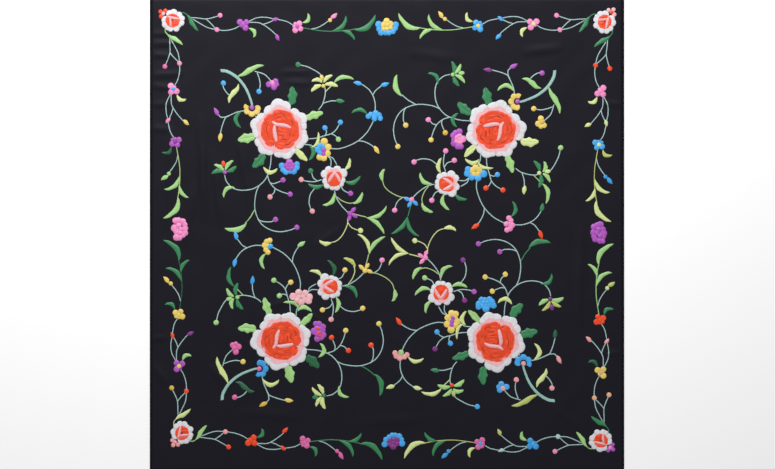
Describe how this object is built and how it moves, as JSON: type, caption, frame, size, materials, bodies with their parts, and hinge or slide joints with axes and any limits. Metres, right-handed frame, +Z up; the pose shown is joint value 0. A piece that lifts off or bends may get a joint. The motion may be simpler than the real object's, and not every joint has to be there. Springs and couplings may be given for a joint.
{
  "type": "flamenco shawl",
  "caption": "Square black silk crepe shawl laid flat, with a rolled hem, embroidered with rose sprays and a flower garland along each side.",
  "frame": {"origin": "on the floor under the middle of the cloth", "axes": "+X to the right and +Y to the top of the laid shawl, +Z up out of the cloth"},
  "size_m": [1.2, 1.2, 0.0042],
  "materials": {
    "crepe": "matt silk crepe",
    "hem": "rolled silk crepe",
    "vine_silk": "satin stitch in floss silk",
    "garland_silk": "satin stitch in floss silk",
    "petal_silk": "satin stitch in floss silk",
    "heart_silk": "satin stitch in floss silk",
    "gold_silk": "satin stitch in floss silk",
    "violet_silk": "satin stitch in floss silk",
    "sky_silk": "satin stitch in floss silk",
    "pink_silk": "satin stitch in floss silk"
  },
  "bodies": {
    "root": {"ground_cloth": "crepe", "hem_top": "hem", "hem_bottom": "hem", "hem_left": "hem", "hem_right": "hem", "vine_tl": "vine_silk", "vine_tr": "vine_silk", "vine_br": "vine_silk", "vine_bl": "vine_silk", "rose_tl": "petal_silk", "rose_tr": "petal_silk", "rose_br": "petal_silk", "rose_bl": "petal_silk", "rose_heart_tl": "heart_silk", "rose_heart_tr": "heart_silk", "rose_heart_br": "heart_silk", "rose_heart_bl": "heart_silk", "small_rose_tl": "petal_silk", "small_rose_tr": "petal_silk", "small_rose_br": "petal_silk", "small_rose_bl": "petal_silk", "small_rose_heart_tl": "heart_silk", "small_rose_heart_tr": "heart_silk", "small_rose_heart_br": "heart_silk", "small_rose_heart_bl": "heart_silk", "oval_blossom_tl": "gold_silk", "oval_blossom_tr": "gold_silk", "oval_blossom_br": "gold_silk", "oval_blossom_bl": "gold_silk", "fan_blossom_tl": "violet_silk", "fan_blossom_tr": "violet_silk", "fan_blossom_br": "violet_silk", "fan_blossom_bl": "violet_silk", "garland_tl_top": "garland_silk", "garland_tr_top": "garland_silk", "garland_tl_left": "garland_silk", "garland_bl_left": "garland_silk", "garland_tr_right": "garland_silk", "garland_br_right": "garland_silk", "garland_bl_bottom": "garland_silk", "garland_br_bottom": "garland_silk", "corner_rose_tl": "petal_silk", "corner_rose_tr": "petal_silk", "corner_rose_br": "petal_silk", "corner_rose_bl": "petal_silk", "middle_flower_top": "sky_silk", "middle_flower_right": "violet_silk", "middle_flower_bottom": "sky_silk", "middle_flower_left": "pink_silk"}
  },
  "joints": []
}
